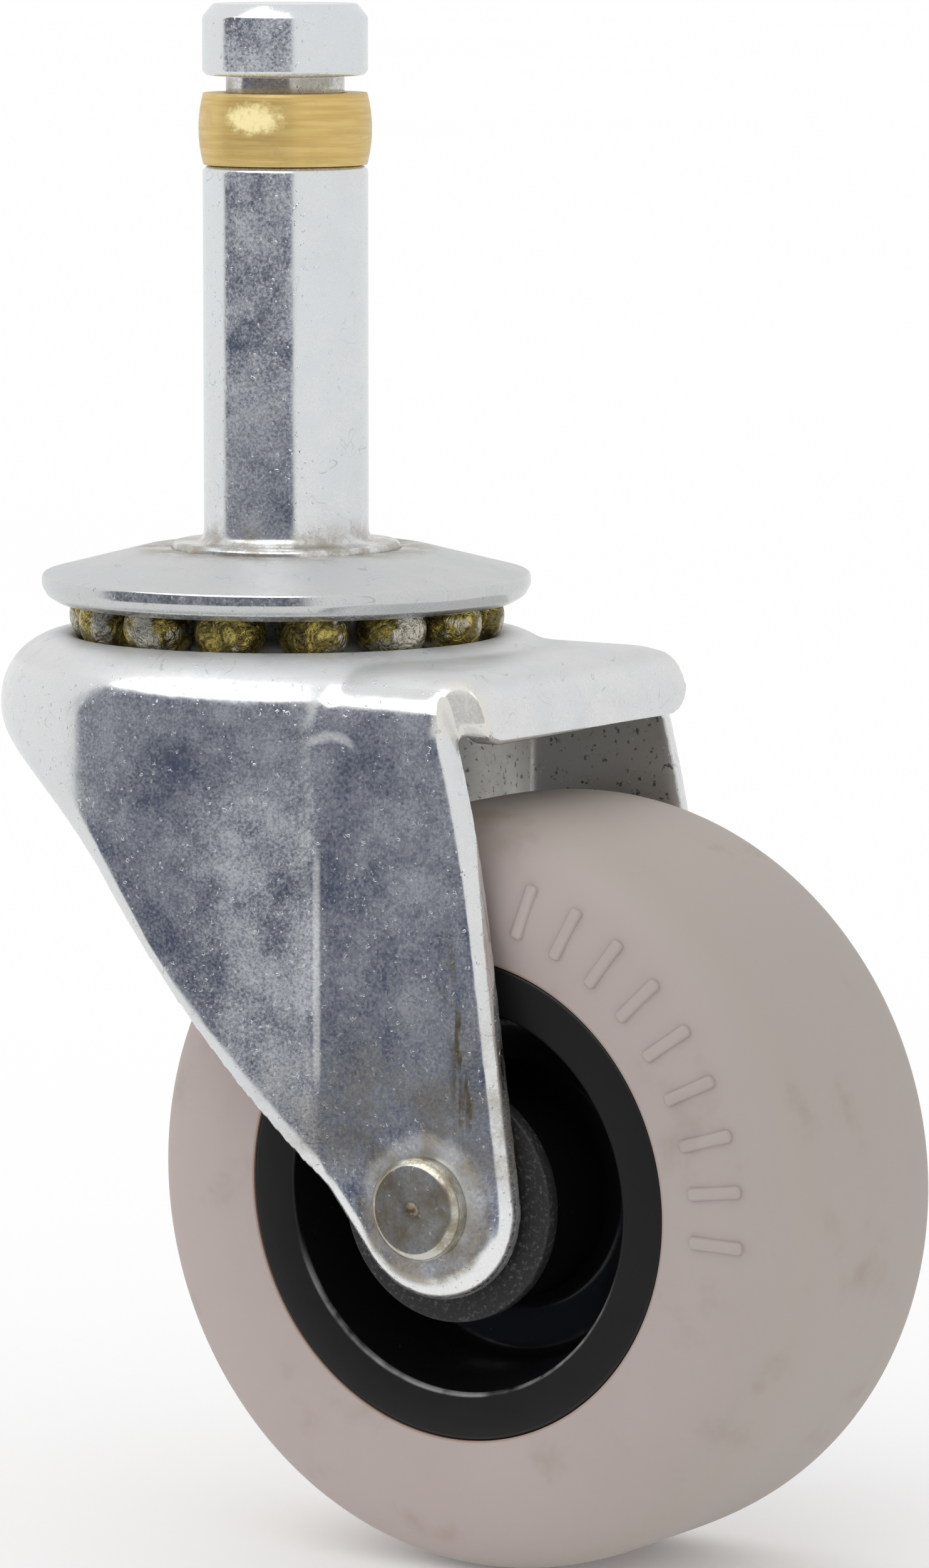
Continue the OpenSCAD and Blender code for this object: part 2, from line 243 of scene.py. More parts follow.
def turned(name, outline, sides=192, ring=False):
    """Lathe work about Z: a circle extruded and resized from point to point of (radius, height)."""
    bpy.ops.object.select_all(action="DESELECT")
    radius, height = outline[0]
    bpy.ops.mesh.primitive_circle_add(vertices=sides, radius=radius, location=(0, 0, height),
                                      fill_type="NOTHING" if ring else "NGON")
    piece = bpy.context.object
    piece.name = piece.data.name = name
    bpy.ops.object.mode_set(mode="EDIT")
    for next_radius, next_height in outline[1:] + (outline[:1] if ring else []):
        bpy.ops.mesh.extrude_region_move(
            TRANSFORM_OT_translate={"value": (0, 0, next_height - height)})
        share = next_radius / radius
        bpy.ops.transform.resize(value=(share, share, 1), center_override=(0, 0, next_height))
        radius, height = next_radius, next_height
    bpy.ops.mesh.select_all(action="SELECT")
    bpy.ops.mesh.remove_doubles(threshold=1e-7)
    bpy.ops.mesh.normals_make_consistent(inside=False)
    bpy.ops.object.mode_set(mode="OBJECT")
    bpy.ops.object.transform_apply(location=True)
    return piece


def arc(centre_radius, centre_height, size, start, end, steps):
    """Points of a round stretch of an outline, from one direction in degrees to another."""
    turns = [radians(start + (end - start) * i / steps) for i in range(steps + 1)]
    return [(centre_radius + size * cos(t), centre_height + size * sin(t)) for t in turns]


def apply(piece, kind, **settings):
    """Adds one modifier and applies it."""
    bpy.ops.object.select_all(action="DESELECT")
    piece.select_set(True)
    bpy.context.view_layer.objects.active = piece
    modifier = piece.modifiers.new(kind.lower(), kind)
    for key, value in settings.items():
        setattr(modifier, key, value)
    bpy.ops.object.modifier_apply(modifier=modifier.name)


def eased(piece, width, steps=3, angle=30):
    """Rounds the sharp edges of a piece by width and shades it smooth."""
    apply(piece, "BEVEL", width=width, segments=steps, limit_method="ANGLE",
          angle_limit=radians(angle), harden_normals=False)
    bpy.ops.object.shade_smooth_by_angle(angle=radians(40))


def zinc(plate, tone=(0.8, 0.805, 0.8, 1), polish=0.1, haze=0.3, satin=0.0, dirt=0.0, painted_sheen=0.0,
         wave=0.045, seed=0.0):
    """Bright zinc plate: polish under a mottled haze, with flecks, hair scratches and smudges."""
    fine = plate.grain(0.2 * mm, 4.0, roughness=0.7, shift=seed)
    cloud = plate.grain(2.2 * mm, 5.0, roughness=0.6, shift=seed + 0.7)
    broad = plate.grain(7 * mm, 2.0, shift=seed + 0.9)
    swell = plate.grain(5 * mm, 2.0, shift=seed + 0.3)
    frost = plate.ramp(0.3 * cloud + 0.45 * fine + 0.25 * broad, 0.36, 0.64)
    line = plate.grain(3.0 * mm, 1.0, distortion=1.0, shift=seed + 0.1)
    hair = (1 - plate.ramp(abs(line - 0.5), 0.0, 0.009)) * plate.ramp(cloud, 0.52, 0.58)
    fleck = plate.ramp(plate.grain(0.4 * mm, 2.0, roughness=0.5, shift=seed + 0.2), 0.66, 0.74)
    smudge = plate.ramp(plate.grain(4 * mm, 5.0, roughness=0.7, shift=seed + 0.5), 0.45, 0.8)
    colour = plate.blend(smudge * 0.2, tone, (0.6, 0.59, 0.57, 1))
    hazy = plate.node("VectorMath", {"operation": "MULTIPLY"}, {0: colour, 1: (0.93, 0.955, 0.985)})
    colour = plate.blend(plate.ramp(haze * frost, 0, 0.35), colour, hazy)
    colour = plate.blend(hair * 0.45, colour, (0.3, 0.29, 0.27, 1))
    colour = plate.blend(dirt * plate.ramp(cloud + 0.3 * fine, 0.5, 0.8), colour,
                         (0.3, 0.25, 0.17, 1))
    relief = plate.bump(swell, wave * mm)
    relief = plate.bump(fine, 0.002 * mm, relief)
    relief = plate.bump(fleck, 0.02 * mm, relief)
    # The last Metallic term lowers the metal so the plate shows its pale colour there: a painted
    # highlight.
    return plate.feed(Base_Color=colour, Metallic=1 - haze * frost - 0.35 * satin - painted_sheen,
                      Roughness=polish + 0.1 * frost + 0.32 * satin, Normal=relief)


stem_radius, neck_radius, core_radius = 5.556 * mm, 3.98 * mm, 4.6 * mm
neck_height, cap_height = 25.7 * mm, 31.7 * mm
collar_radius, collar_height, collar_seat = 7.7 * mm, 0.45 * mm, -0.6 * mm
foot_fillet = 0.8 * mm
peen_radius, peen_height = 6.3 * mm, 1.5 * mm
washer_height = stem_low.z + peen_height

stem = turned("turned_stem", [
    (peen_radius - 2 * mm, stem_low.z),
    (peen_radius - 0.35 * mm, stem_low.z + peen_height / 2),
    (peen_radius, washer_height - 0.35 * mm),
    (peen_radius, washer_height),
    (core_radius, washer_height),
    (core_radius, collar_seat),
    (collar_radius, collar_seat),
    (collar_radius, collar_height / 2),
    (collar_radius - 0.22 * mm, collar_height)]
    + [(stem_radius + foot_fillet - foot_fillet * sin(radians(a)),
        collar_height + foot_fillet - foot_fillet * cos(radians(a))) for a in range(0, 91, 15)]
    + [(stem_radius, neck_height - 0.3 * mm),
       (stem_radius - 0.3 * mm, neck_height),
       (neck_radius, neck_height),
       (neck_radius, cap_height),
       (stem_radius - 0.3 * mm, cap_height),
       (stem_radius, cap_height + 0.3 * mm),
       (stem_radius, stem_high.z - 0.9 * mm),
       (stem_radius - 0.73 * mm, stem_high.z)])
eased(stem, 0.12 * mm)
stem_plate = Finish("bright_zinc_stem", Metallic=1.0)
foot = 1 - stem_plate.ramp(stem_plate.z, 0.5, 2.5)
neck = stem_plate.ramp(stem_plate.z, neck_height / mm, neck_height / mm + 0.2) * (
    1 - stem_plate.ramp(stem_plate.z, cap_height / mm - 0.2, cap_height / mm))
cap = stem_plate.ramp(stem_plate.z, cap_height / mm, cap_height / mm + 0.2)
# Haze is partly the plate's own frost and partly painted light: it grows towards the top, so the
# upper stem shows lighter.
haze_and_painted_light = 0.46 + 0.18 * stem_plate.ramp(stem_plate.z, 6, 14) + 0.1 * cap
stem.data.materials.append(zinc(stem_plate, haze=haze_and_painted_light, satin=0.4 * foot,
                                dirt=0.7 * foot + 0.6 * neck))
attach(stem, "stem")
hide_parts("stem")

# ---- Grip ring ----
# A split spring ring of brass-coloured strip with a barrel-shaped outside. It is rolled to size,
# sprung over the neck and left loose, and it bites in the chair's socket.

ring_low, ring_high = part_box("grip_ring")
ring_height = ring_high.z - ring_low.z
ring_radius, ring_end, ring_bore = 5.82 * mm, 5.5 * mm, 4.15 * mm
split_direction, split_width = radians(123), 0.8 * mm

barrel = ((ring_height / 2) ** 2 + (ring_radius - ring_end) ** 2) / (2 * (ring_radius - ring_end))
ring_middle = (ring_low.z + ring_high.z) / 2
lean = asin(ring_height / 2 / barrel)
ring = turned("grip_ring_brass", [(ring_bore, ring_low.z)]
              + [(ring_radius - barrel + barrel * cos(t), ring_middle + barrel * sin(t))
                 for t in [lean * (i / 8 - 1) for i in range(17)]]
              + [(ring_bore, ring_high.z)], ring=True)
bpy.ops.mesh.primitive_cube_add(size=1)
knife = bpy.context.object
knife.scale = (ring_radius * 1.5, split_width, ring_height * 2)
knife.rotation_euler = (0, 0, split_direction)
knife.location = (ring_radius * cos(split_direction), ring_radius * sin(split_direction),
                  ring_middle)
bpy.ops.object.transform_apply()
apply(ring, "BOOLEAN", object=knife, operation="DIFFERENCE", solver="EXACT")
bpy.data.objects.remove(knife)
eased(ring, 0.14 * mm, angle=25)

brass = Finish("brass_painted_highlight")
brass_line = brass.grain(0.5 * mm, 3.0, stretch=(0.08, 0.08, 1.6), roughness=0.6)
brass_speck = brass.grain(0.25 * mm, 3.0)
brass_stain = brass.ramp(brass.grain(1.8 * mm, 4.0, roughness=0.65), 0.5, 0.72)
# A painted highlight: a pale, less metallic oblong high on the barrel, with a ragged edge.
from_painted_highlight = (((brass.x - 1.3) ** 2 + (brass.y + 5.7) ** 2) / 3.6
            + (brass.z - ring_middle / mm - 0.8) ** 2 / 0.9)
painted_highlight_mask = 1 - brass.ramp(from_painted_highlight + 3 * (brass.grain(0.5 * mm, 4.0, roughness=0.7) - 0.5), 0.1, 1.6)
brass_colour = brass.blend(brass.ramp(brass_line, 0.3, 0.7),
                           (0.74, 0.54, 0.2, 1), (0.62, 0.42, 0.13, 1))
brass_colour = brass.blend(brass_stain * 0.35, brass_colour, (0.5, 0.35, 0.15, 1))
brass_colour = brass.blend(painted_highlight_mask, brass_colour, (1, 0.86, 0.44, 1))
ring.data.materials.append(brass.feed(
    Base_Color=brass_colour, Metallic=0.3 - 0.3 * painted_highlight_mask, Roughness=0.26 + 0.16 * brass_speck,
    Normal=brass.bump(brass_speck, 0.01 * mm, brass.bump(brass_line, 0.05 * mm))))
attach(ring, "ring")
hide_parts("grip_ring")

# ---- Upper race ----
# A plate pressed from steel sheet and zinc plated: flat seat, shallow cone, short rim and a skirt
# that turns in over the balls. The stem's core is pressed through its middle.

seat_radius, rim_radius = 9.8 * mm, 16.5 * mm
rim_top, rim_middle, rim_bottom = -1.65 * mm, -2.45 * mm, -3.1 * mm
lip_radius, lip_height = 15.4 * mm, -3.55 * mm
groove_radius, groove_height, groove_size = 12.35 * mm, -4.55 * mm, 2.41 * mm
inner_radius, inner_height, underside, turned_in = 9.9 * mm, -3.0 * mm, -1.7 * mm, 0.35 * mm
groove_start = asin((lip_height - groove_height) / groove_size) * 180 / pi
groove_end = asin((inner_height - groove_height) / groove_size) * 180 / pi

race = turned("race_plate", [
    (core_radius, collar_seat),
    (collar_radius, collar_seat),
    (collar_radius, 0),
    (seat_radius, 0),
    (rim_radius - 0.17 * mm, rim_top),
    (rim_radius, rim_top - 0.17 * mm),
    (rim_radius, rim_middle),
    (rim_radius - turned_in, rim_bottom),
    (lip_radius, lip_height)]
    + arc(groove_radius, groove_height, groove_size, groove_start, 180 - groove_end, 20)
    + [(inner_radius, inner_height), (inner_radius - turned_in, underside),
       (core_radius, underside)], ring=True)
eased(race, 0.12 * mm, angle=12)
race_plate = Finish("bright_zinc_race", Metallic=1.0)
on_top = race_plate.ramp(race_plate.z, rim_top / mm - 0.12, rim_top / mm + 0.06)
by_foot = 1 - race_plate.ramp(race_plate.from_post(), 8.5, 11)
streak = race_plate.grain(0.5 * mm, 3.0, stretch=(1, 1, 0.06), roughness=0.6)
race.data.materials.append(zinc(race_plate, tone=(0.65, 0.65, 0.64, 1), haze=0.8 * streak,
                                satin=0.1 + 0.9 * on_top, dirt=by_foot * 0.8, seed=2.0))
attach(race, "stem")
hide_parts("upper_race")

# ---- Balls ----
# Fourteen hardened steel balls run between the race plate and the yoke's crown, and fourteen
# smaller ones under the crown. Old grease has dried on them in brown and olive smears.

grease = Finish("greasy_ball_steel", Metallic=0.9)
smear = grease.grain(1.6 * mm, 4.0, roughness=0.6, distortion=1.5)
wrinkle = grease.grain(0.9 * mm, 3.0, roughness=0.6, distortion=1.5, shift=1.0)
patch = grease.grain(2.5 * mm, 2.0, shift=2.0)
crack = 1 - grease.ramp(abs(wrinkle - 0.5), 0.0, 0.03)
grease_colour = grease.blend(grease.ramp(smear, 0.4, 0.56),
                             (0.62, 0.5, 0.13, 1), (0.2, 0.155, 0.05, 1))
grease_colour = grease.blend(grease.ramp(patch, 0.52, 0.6), grease_colour, (0.62, 0.59, 0.48, 1))
grease_colour = grease.blend(crack * 0.85, grease_colour, (0.02, 0.016, 0.01, 1))
ball_finish = grease.feed(Base_Color=grease_colour, Roughness=0.1 + 0.4 * smear,
                          Normal=grease.bump(wrinkle, 0.2 * mm, grease.bump(smear, 0.3 * mm)))
for body in ("upper_balls", "lower_balls"):
    for node in frame["record"]["behaviour"]["bodies"][body]:
        low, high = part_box(node)
        bpy.ops.object.select_all(action="DESELECT")
        bpy.ops.mesh.primitive_ico_sphere_add(subdivisions=4, radius=(high.z - low.z) / 2,
                                              location=(low + high) / 2)
        ball = bpy.context.object
        ball.name = ball.data.name = "steel_" + node
        bpy.ops.object.transform_apply()
        bpy.ops.object.shade_smooth()
        ball.data.materials.append(ball_finish)
        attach(ball, body)
        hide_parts(node)

# ---- Lower race and washer ----
# A turned ring cups the lower balls from below. A flat washer sits under it, and the stem's core is
# peened over the washer to hold the whole bearing together.

low_race_low, low_race_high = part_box("lower_race")
low_race_radius = low_race_high.x
low_pitch, low_height, low_groove = 7.6 * mm, -9.2 * mm, 1.617 * mm
low_start = asin((low_race_high.z - low_height) / low_groove) * 180 / pi
low_race = turned("bearing_cup", [
    (core_radius, low_race_low.z),
    (low_race_radius - 0.35 * mm, low_race_low.z),
    (low_race_radius, low_race_low.z + 0.35 * mm),
    (low_race_radius, low_race_high.z)]
    + arc(low_pitch, low_height, low_groove, low_start, -180 - low_start, 16)
    + [(core_radius, low_race_high.z)], ring=True)
eased(low_race, 0.1 * mm)
washer_low, washer_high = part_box("retaining_washer")
washer = turned("bearing_washer", [
    (core_radius, washer_low.z), (washer_high.x, washer_low.z),
    (washer_high.x, washer_high.z), (core_radius, washer_high.z)], ring=True)
eased(washer, 0.15 * mm)
race_finish = zinc(Finish("dull_race_steel", Metallic=1.0), tone=(0.5, 0.49, 0.45, 1), satin=0.7,
                   dirt=0.6, seed=5.0)
for piece, node in ((low_race, "lower_race"), (washer, "retaining_washer")):
    piece.data.materials.append(race_finish)
    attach(piece, "stem")
    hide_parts(node)

# ---- Yoke ----
# One blank of steel sheet, drawn into a round cup in front, with two flat cheeks folded down for
# the axle and a hood folded down behind. The punch has rounded its outer edges, and it is plated.

yoke = bpy.data.objects.new("pressed_yoke", frame["nodes"]["yoke"].data.copy())
bpy.context.scene.collection.objects.link(yoke)
bpy.ops.object.select_all(action="DESELECT")
yoke.select_set(True)
bpy.context.view_layer.objects.active = yoke
bpy.ops.object.mode_set(mode="EDIT")
bpy.ops.mesh.select_all(action="SELECT")
bpy.ops.mesh.remove_doubles(threshold=1e-6)
bpy.ops.object.mode_set(mode="OBJECT")
apply(yoke, "REMESH", mode="VOXEL", voxel_size=0.31 * mm)
apply(yoke, "SMOOTH", factor=0.5, iterations=6)

cup_outside, cheek_outside, crease_x = 19.3 * mm, 14.5 * mm, 12.74 * mm
axle_x, axle_z, end_radius = 20.7 * mm, -41 * mm, 6.3 * mm
front_slope, rear_slope = radians(53.3), radians(7.6)
front_arc, front_z, rear_arc, rear_arc_z = 21.7 * mm, -12.3 * mm, 90 * mm, -23 * mm
roll_width, roll_depth, roll_reach = 2.1 * mm, 1.5 * mm, 2.1 * mm
roll_top, roll_fade, cheek_roll, small = -9 * mm, 12 * mm, 0.75, 0.01 * mm
front_out = Vector((-sin(front_slope), -cos(front_slope)))
front_up = Vector((-cos(front_slope), sin(front_slope)))
rear_out = Vector((cos(rear_slope), sin(rear_slope)))
rear_up = Vector((-sin(rear_slope), cos(rear_slope)))
axle_point = Vector((axle_x, axle_z))
corner = axle_point + end_radius * front_out
corner += front_up * ((front_z - corner.y) / front_up.y)
arc_reach = front_arc * tan(front_slope / 2)
arc_centre = Vector((corner.x - arc_reach, front_z - front_arc))
line_length = (corner - axle_point).dot(front_up) - arc_reach
rear_start = axle_point + end_radius * rear_out
rear_start += rear_up * ((rear_arc_z - rear_start.y) / rear_up.y)
rear_centre = rear_start - rear_arc * rear_out


def from_edge(point):
    """Distance of a point of the side view from the edge of the leg and the cup."""
    offset = point - axle_point
    above_front, above_rear = offset.dot(front_up), offset.dot(rear_up)
    if above_front < 0 and above_rear < 0:
        return end_radius - offset.length
    front = rear = 1.0
    if above_front >= line_length:
        front = point.y - front_z
        if point.x > arc_centre.x:
            front = (point - arc_centre).length - front_arc
    elif above_front >= 0:
        front = end_radius - offset.dot(front_out)
    if point.y > rear_arc_z:
        rear = rear_arc - (point - rear_centre).length
    elif above_rear >= 0:
        rear = end_radius - offset.dot(rear_out)
    return min(front, rear)


for vertex in yoke.data.vertices:
    x, y, z = vertex.co
    radius = sqrt(x * x + y * y)
    in_front = x < crease_x
    depth = (cup_outside - radius) if in_front else cheek_outside - abs(y)
    to_edge = from_edge(Vector((x, z)))
    if depth < roll_reach and to_edge < roll_width and z < roll_top:
        share = 1 - max(to_edge, 0) / roll_width
        drop = (roll_depth * (1 - sqrt(1 - share ** 2)) * (1 - max(depth, 0) / roll_reach)
                * min(1, (roll_top - z) / mm))
        if in_front:
            vertex.co.x, vertex.co.y = x * (1 - drop / radius), y * (1 - drop / radius)
            moved = Vector((vertex.co.x, z))
            near = from_edge(moved)
            rise = Vector((from_edge(moved + Vector((small, 0))) - near,
                           from_edge(moved + Vector((0, small))) - near)) / small
            vertex.co.x += (to_edge - near) * rise.x
            vertex.co.z += (to_edge - near) * rise.y
        else:
            drop *= min(1, cheek_roll + (x - crease_x) / roll_fade)
            vertex.co.y = y - drop * (1 if y > 0 else -1)
apply(yoke, "SMOOTH", factor=0.5, iterations=5)
bpy.ops.object.shade_smooth()
yoke.data.materials.clear()
sheet_plate = Finish("bright_zinc_yoke", Metallic=1.0)
px, py, pz, ramp = sheet_plate.x, sheet_plate.y, sheet_plate.z, sheet_plate.ramp
crown = ramp(pz, -7.7, -6.9)
from_axle = sheet_plate.from_line(axle_x, axle_z)
worn = sheet_plate.grain(1.5 * mm, 4.0, roughness=0.6, shift=8.0) - 0.5
coined = 1 - ramp(from_axle + 2 * worn, 4.1, 5.5)
# A painted highlight: a paler tone on the leg's end round and below the axle, kept free of dirt.
rim = ramp(from_axle, 4.9, 5.4) * (1 - ramp(pz, axle_z / mm, axle_z / mm + 5))
in_width = 1 - ramp(abs(py), 12.35, 12.6)
in_cup = 1 - ramp(sheet_plate.from_post(), 17.1, 17.3)
before_lip = 1 - ramp(px, 21.2, 21.8)
under_lip = 1 - ramp(pz, -11.5, -11.2)
between = ramp(px, 11.5, 12) * in_width * before_lip.larger(under_lip)
inner = in_cup.larger(between) * (1 - ramp(pz, -8.9, -8.6))
speck = ramp(sheet_plate.grain(0.5 * mm, 3.0, roughness=0.6, shift=4.0), 0.6, 0.68)
tone = sheet_plate.blend(crown, (0.79, 0.79, 0.785, 1), (0.74, 0.74, 0.73, 1))
# Painted light: the crown is made paler close round the race plate, lifting the shade there.
painted_light_near_race = crown * (1 - ramp(sheet_plate.from_post(), 14.5, 18.5))
tone = sheet_plate.blend(painted_light_near_race, tone, (0.94, 0.94, 0.93, 1))
tone = sheet_plate.blend(rim, tone, (0.9, 0.9, 0.89, 1))
# Painted shade: the insides of the cup and cheeks get a darker tone; the black specks on them are
# dirt.
tone = sheet_plate.blend(inner, tone, (0.5, 0.48, 0.44, 1))
tone = sheet_plate.blend(inner * speck * 0.8, tone, (0.06, 0.055, 0.05, 1))
low_down = 1 - ramp(from_axle, 5, 16)
# Painted sheen: a zone low on the cup, left of the crease, is made hazier and so paler.
pale = (ramp(px, 3, 9) * (1 - ramp(px, 12.3, 12.8))
        * (1 - ramp(pz, -18, -11)))
streaky = ramp(sheet_plate.grain(0.5 * mm, 3.0, stretch=(1, 1, 0.15), shift=6.0), 0.4, 0.6)
from_rear = (end_radius / mm - rear_out.x * (px - axle_x / mm)
             - rear_out.y * (pz - axle_z / mm))
streak = (ramp(from_rear, 1.4, 1.9) * (1 - ramp(from_rear, 2.4, 3.4)) * streaky
          * ramp(pz, -38, -35) * (1 - ramp(pz, -26, -20)))
# A painted highlight: a thin pale line down the crease between cup and cheek.
crease = ((1 - ramp(abs(px - 12.5), 0.08, 0.3)) * ramp(pz, -34.5, -32)
          * (1 - ramp(pz, -20, -17)))
# A painted highlight: the upper arc of a small round dent, made pale by lowering the metal; the
# dent has no relief.
dent_x, dent_z, dent_radius = 13.6 * mm, -13.4 * mm, 2.8
from_dent = abs(sheet_plate.from_line(dent_x, dent_z) - dent_radius)
dent = ((1 - ramp(from_dent, 0.1, 0.5)) * ramp(pz, -12.3, -11)
        * (1 - ramp(abs(px - dent_x / mm), 1.2, 2.2)))
# A painted highlight: a cream, less metallic patch on the side of the hood beside the notch.
flank = (ramp(px, 20.8, 21.4) * ramp(abs(py), 11.7, 12.1)
         * (1 - ramp(pz, -6.6, -6.2)) * ramp(pz, -10.5, -10))
tone = sheet_plate.blend(flank * 0.6, tone, (0.8, 0.76, 0.68, 1))
yoke.data.materials.append(zinc(
    sheet_plate, tone=tone, haze=0.34 + 0.25 * pale + 0.25 * coined,
    satin=crown.larger(0.6 * coined + 0.7 * inner), painted_sheen=0.4 * crease + 0.35 * dent + 0.6 * flank,
    dirt=0.75 * low_down * (1 - rim) + 0.9 * streak, wave=0.08, seed=9.0))
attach(yoke, "fork")
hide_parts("yoke")

# ---- Axle ----
# A shouldered steel rivet: a bearing length between the legs, and reduced ends that are riveted
# over outside them, each with a bevelled rim and a centre dimple.

axle_low, axle_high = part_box("axle")
axle_centre = (axle_low + axle_high) / 2
axle_radius, axle_end, head_radius = 3.97 * mm, 2.6 * mm, 3.4 * mm
cheek_inside = 12.2 * mm
head_face = axle_high.y
quarter_turn = (-pi / 2, 0, 0)


def on_axle(piece):
    """Turns a piece of lathe work from the Z axis to the axle."""
    bpy.ops.object.select_all(action="DESELECT")
    piece.select_set(True)
    bpy.context.view_layer.objects.active = piece
    piece.rotation_euler = quarter_turn
    piece.location = axle_centre
    bpy.ops.object.transform_apply()


half = [(0.12 * mm, head_face - 0.2 * mm), (0.35 * mm, head_face - 0.06 * mm),
        (0.6 * mm, head_face), (head_radius - 0.5 * mm, head_face),
        (head_radius - 0.12 * mm, head_face - 0.3 * mm),
        (head_radius, head_face - 0.6 * mm), (head_radius, cheek_outside),
        (axle_end, cheek_outside), (axle_end, cheek_inside), (axle_radius, cheek_inside)]
axle = turned("riveted_axle", [(r, -y) for r, y in half] + half[::-1])
eased(axle, 0.1 * mm)
on_axle(axle)
axle_plate = Finish("axle_plate", Metallic=1.0)
from_dimple = axle_plate.from_line(axle_x, axle_z) + axle_plate.grain(0.8 * mm, 3.0) - 0.5
rusty = 1 - axle_plate.ramp(from_dimple, 0.1, 1.1)
axle.data.materials.append(zinc(
    axle_plate, tone=axle_plate.blend(rusty, (0.64, 0.62, 0.55, 1), (0.17, 0.11, 0.07, 1)),
    haze=0.25, satin=0.25, dirt=0.9, seed=12.0))
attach(axle, "fork")
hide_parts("axle")

# ---- Hub ----
# The core is moulded in black plastic: a rim ring with a locking rib for the tyre, a deep glossy
# dish on each side, a web and a boss that takes the bushings.

hub_low, hub_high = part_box("hub")
hub_half, hub_radius, rib_radius = hub_high.y, 16 * mm, (hub_high.x - hub_low.x) / 2
rib_half, web_half, boss_radius = 2 * mm, 3 * mm, 7.4 * mm
dish_mouth, dish_floor, barrel_radius, hub_bore = 12.9 * mm, 11.6 * mm, 6 * mm, 4.8 * mm
boss_half = 10.6 * mm
dish_side = [(hub_radius, rib_half), (hub_radius, hub_half), (dish_mouth, hub_half),
             (dish_floor, web_half + 1.2 * mm), (dish_floor - 0.35 * mm, web_half + 0.35 * mm),
             (dish_floor - 1.2 * mm, web_half), (boss_radius + 0.8 * mm, web_half),
             (boss_radius, web_half + 0.8 * mm), (boss_radius, boss_half),
             (barrel_radius, boss_half), (barrel_radius, web_half), (hub_bore, web_half)]
hub = turned("moulded_core", [(rib_radius, rib_half)] + dish_side
             + [(r, -y) for r, y in dish_side[::-1]] + [(rib_radius, -rib_half)], ring=True)
eased(hub, 0.3 * mm)
on_axle(hub)
black = Finish("black_moulding", Specular_IOR_Level=0.4)
dust = black.ramp(black.grain(0.22 * mm, 3.0), 0.7, 0.8)
flow = black.grain(3 * mm, 3.0, roughness=0.6)
from_axle = black.from_line(axle_x, axle_z)
rim = black.ramp(from_axle, dish_mouth / mm - 0.1, dish_mouth / mm + 0.1)
# A painted highlight: a pale line round the lower half of the dish's mouth edge, broken up by the
# flow noise.
painted_edge_highlight = ((1 - black.ramp(abs(from_axle - dish_mouth / mm), 0.1, 0.25))
             * black.ramp(flow, 0.3, 0.6) * (1 - black.ramp(black.z, -50, -44))
             * black.ramp(abs(black.y), hub_half / mm - 0.45, hub_half / mm - 0.25))
black_colour = black.blend(dust * 0.35 + rim * 0.07,
                           (0.005, 0.005, 0.005, 1), (0.1, 0.094, 0.088, 1))
black_colour = black.blend(painted_edge_highlight * 0.5, black_colour, (0.5, 0.5, 0.49, 1))
hub.data.materials.append(black.feed(
    Base_Color=black_colour, Roughness=0.16 + 0.14 * flow + 0.24 * rim,
    Normal=black.bump(flow, 0.05 * mm)))
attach(hub, "wheel")
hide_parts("hub")

# ---- Bushings ----
# A flanged bushing is pressed into each end of the boss. It is dark grey and matt, with a grainy
# face that stands just inside the leg.

flange_radius, flange_face, flange_thickness, bushing_bore = 8 * mm, 11.8 * mm, 1.2 * mm, 4.03 * mm
dark = Finish("dark_grainy_bushing")
dark_speck = dark.grain(0.3 * mm, 4.0, roughness=0.7)
dark_colour = dark.blend(dark.ramp(dark_speck, 0.5, 0.75),
                         (0.019, 0.018, 0.018, 1), (0.1, 0.096, 0.09, 1))
bushing_finish = dark.feed(Base_Color=dark_colour, Roughness=0.5 + 0.2 * dark_speck,
                           Normal=dark.bump(dark_speck, 0.06 * mm))
for side, node in ((-1, "bushing_left"), (1, "bushing_right")):
    section = [(bushing_bore, web_half), (barrel_radius, web_half),
               (barrel_radius, flange_face - flange_thickness),
               (flange_radius, flange_face - flange_thickness),
               (flange_radius, flange_face), (bushing_bore, flange_face)]
    bushing = turned("flanged_" + node, [(r, side * y) for r, y in section], ring=True)
    eased(bushing, 0.2 * mm)
    on_axle(bushing)
    bushing.data.materials.append(bushing_finish)
    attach(bushing, "wheel")
    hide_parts(node)

# ---- Tyre ----
# A solid tread of warm grey rubber moulded over the core's rim. Its tread is almost flat and its
# shoulders are full. Raised marks on its side stand where a maker would put a name.

tyre_low, tyre_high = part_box("tyre")
tyre_radius, tyre_half = (tyre_high.x - tyre_low.x) / 2, tyre_high.y
side_radius, crown_exponent, shoulder_exponent = 18.36 * mm, 5.45, 2.16


def tread(share):
    """Outer radius of the tyre at a share of its half width."""
    full = (1 - share ** crown_exponent) ** (1 / shoulder_exponent)
    return side_radius + (tyre_radius - side_radius) * full


def tread_half(radius):
    """Half width of the tyre at a radius."""
    full = (radius - side_radius) / (tyre_radius - side_radius)
    return tyre_half * (1 - full ** shoulder_exponent) ** (1 / crown_exponent)


steps = [sin(pi / 2 * i / 28) for i in range(-28, 29)]
tyre = turned("grey_tyre", [(hub_radius, -rib_half), (hub_radius, -hub_half)]
              + [(tread(abs(s)), s * tyre_half) for s in steps]
              + [(hub_radius, hub_half), (hub_radius, rib_half),
                 (rib_radius, rib_half), (rib_radius, -rib_half)], sides=256, ring=True)
on_axle(tyre)
bpy.ops.object.shade_smooth_by_angle(angle=radians(40))

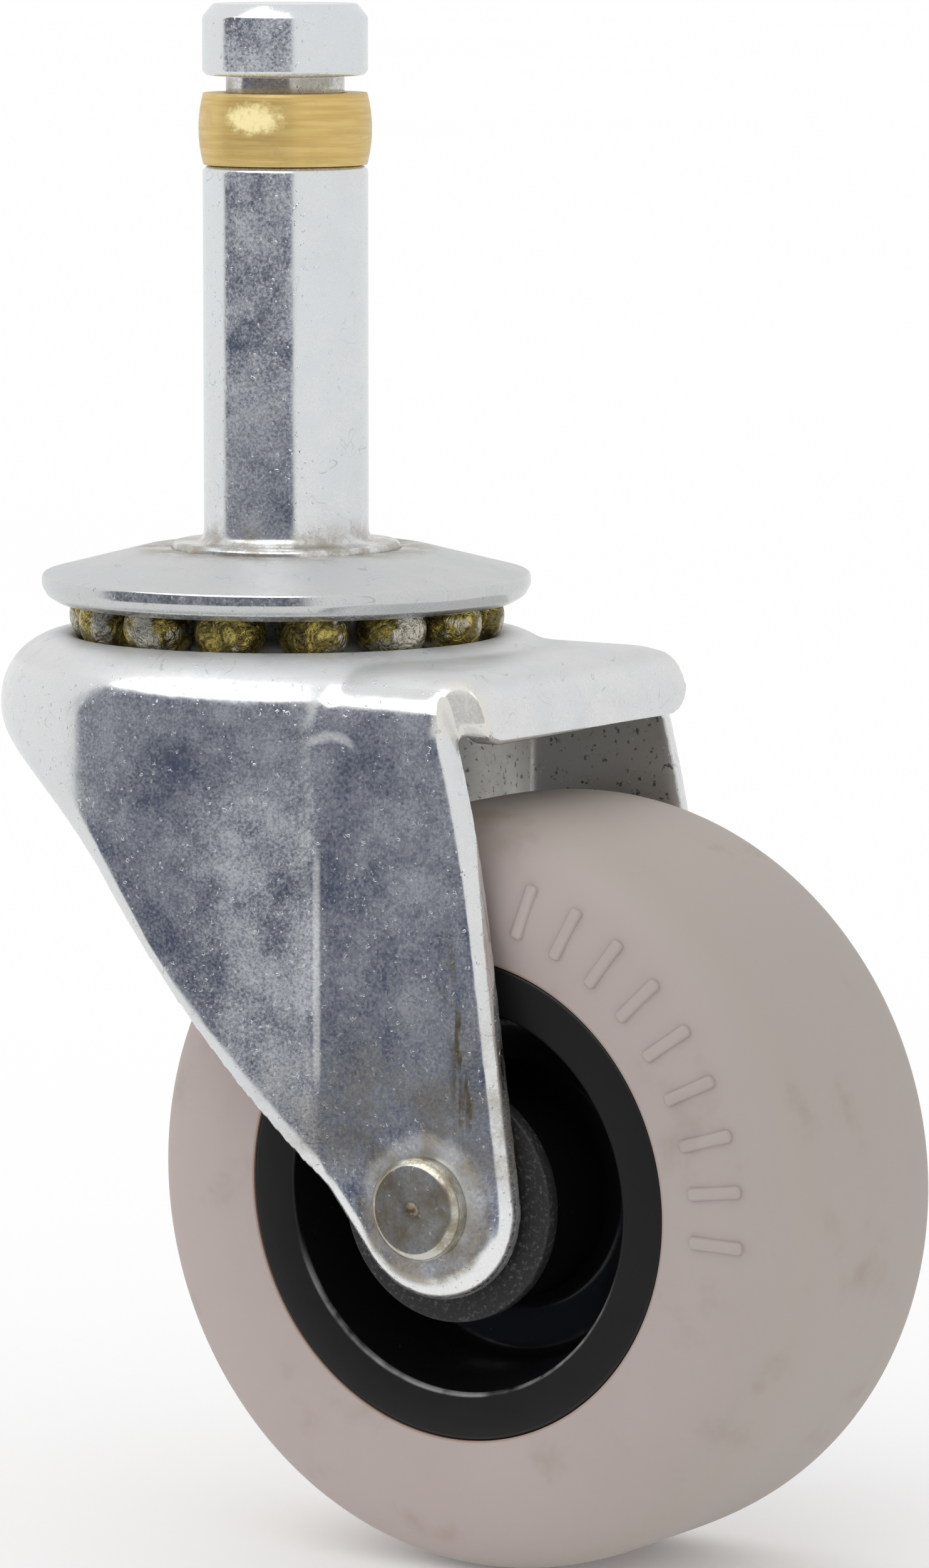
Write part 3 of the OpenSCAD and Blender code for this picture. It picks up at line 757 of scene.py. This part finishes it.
mark_count, mark_first, mark_step = 9, 74, -9.6
mark_radius, mark_proud, mark_edge = 20.2 * mm, 0.3 * mm, 0.3 * mm
mark_size = Vector((3.7, 0.8, 0.85)) * mm
side_slope = radians(8.5)
marks = []
for i in range(mark_count):
    turn = radians(mark_first + mark_step * i)
    bpy.ops.mesh.primitive_cube_add(size=1)
    mark = bpy.context.object
    mark.scale = mark_size
    bpy.ops.object.transform_apply()
    apply(mark, "BEVEL", width=mark_edge, segments=4, limit_method="NONE")
    bpy.ops.object.shade_smooth()
    mark.rotation_euler = (0, 0, side_slope)
    bpy.ops.object.transform_apply()
    mark.rotation_euler = (0, -turn, 0)
    mark_centre = -tread_half(mark_radius) - mark_proud + mark_size.y / 2
    mark.location = axle_centre + Vector((mark_radius * cos(turn), mark_centre,
                                          mark_radius * sin(turn)))
    bpy.ops.object.transform_apply()
    marks.append(mark)
bpy.ops.object.select_all(action="DESELECT")
for mark in marks:
    mark.select_set(True)
tyre.select_set(True)
bpy.context.view_layer.objects.active = tyre
bpy.ops.object.join()
grey = Finish("warm_grey_rubber")
cloud = grey.grain(9 * mm, 3.0, roughness=0.55)
stain = grey.ramp(grey.grain(6 * mm, 4.0, roughness=0.6, shift=3.0), 0.56, 0.8)
pore = grey.grain(0.25 * mm, 2.0)
rubber = grey.blend(cloud, (0.45, 0.375, 0.355, 1), (0.49, 0.42, 0.4, 1))
on_tread = 1 - grey.ramp(abs(grey.y) + 3 * (cloud - 0.5), 8.2, 10.2)
rubber = grey.blend(on_tread * (0.4 + 0.6 * cloud), rubber, (0.48, 0.425, 0.375, 1))
rubber = grey.blend(stain * 0.6, rubber, (0.33, 0.26, 0.2, 1))
seam = 1 - grey.ramp(grey.from_line(axle_x, axle_z), hub_radius / mm + 0.03, hub_radius / mm + 0.2)
rubber = grey.blend(seam * 0.7, rubber, (0.3, 0.19, 0.13, 1))
# Painted shade: the rubber darkens towards +X.
rubber = grey.blend(grey.ramp(grey.x, 18, 45) * 0.45, rubber, (0.36, 0.32, 0.3, 1))
grey_finish = grey.feed(Base_Color=rubber, Roughness=0.55 + 0.12 * cloud,
                        Normal=grey.bump(pore, 0.008 * mm))
tyre.data.materials.append(grey_finish)
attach(tyre, "wheel")
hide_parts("tyre")
